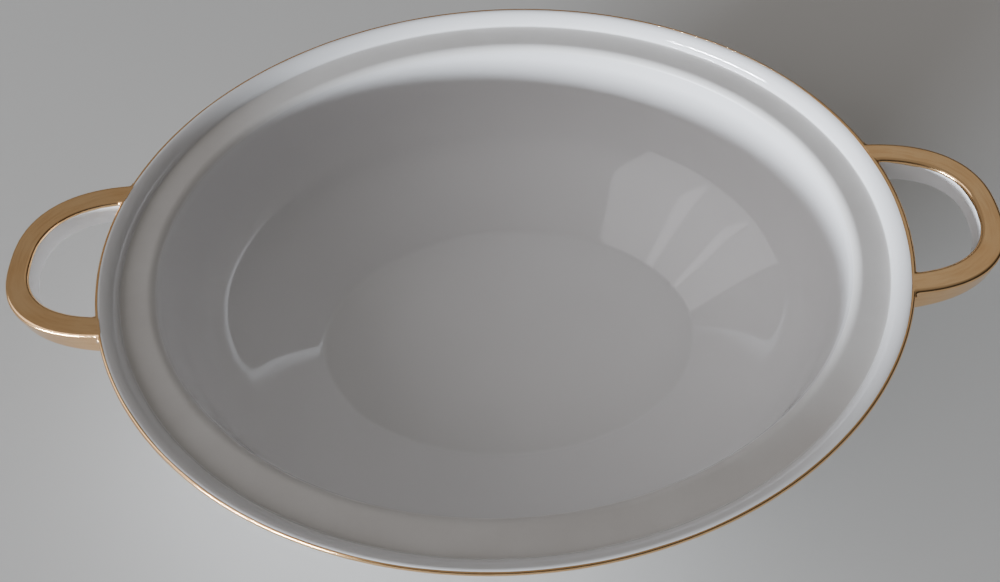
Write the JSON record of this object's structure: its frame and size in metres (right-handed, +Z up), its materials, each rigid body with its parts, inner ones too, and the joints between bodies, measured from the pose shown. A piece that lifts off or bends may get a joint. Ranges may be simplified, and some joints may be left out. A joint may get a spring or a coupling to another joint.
{
  "type": "oval serving bowl",
  "caption": "Oval white porcelain serving bowl with a flat lid seat inside the rim, gilded edge and D-shaped gold handles at both ends.",
  "frame": {"origin": "middle of the bowl on the table plane that the foot ring stands on", "axes": "+X along the oval's long axis through both handles, +Y away from the user across the oval, +Z up out of the bowl"},
  "size_m": [0.3386, 0.2186, 0.0842],
  "materials": {
    "white_porcelain": "glossy white glaze, bare matte ledge",
    "fired_gold": "hand-brushed bright gold, fired on"
  },
  "bodies": {
    "root": {"bowl_body": "white_porcelain", "foot_ring": "white_porcelain", "handle_left": "white_porcelain", "handle_right": "white_porcelain", "handle_gilding_left": "fired_gold", "handle_gilding_right": "fired_gold", "rim_gilding": "fired_gold"}
  },
  "joints": []
}
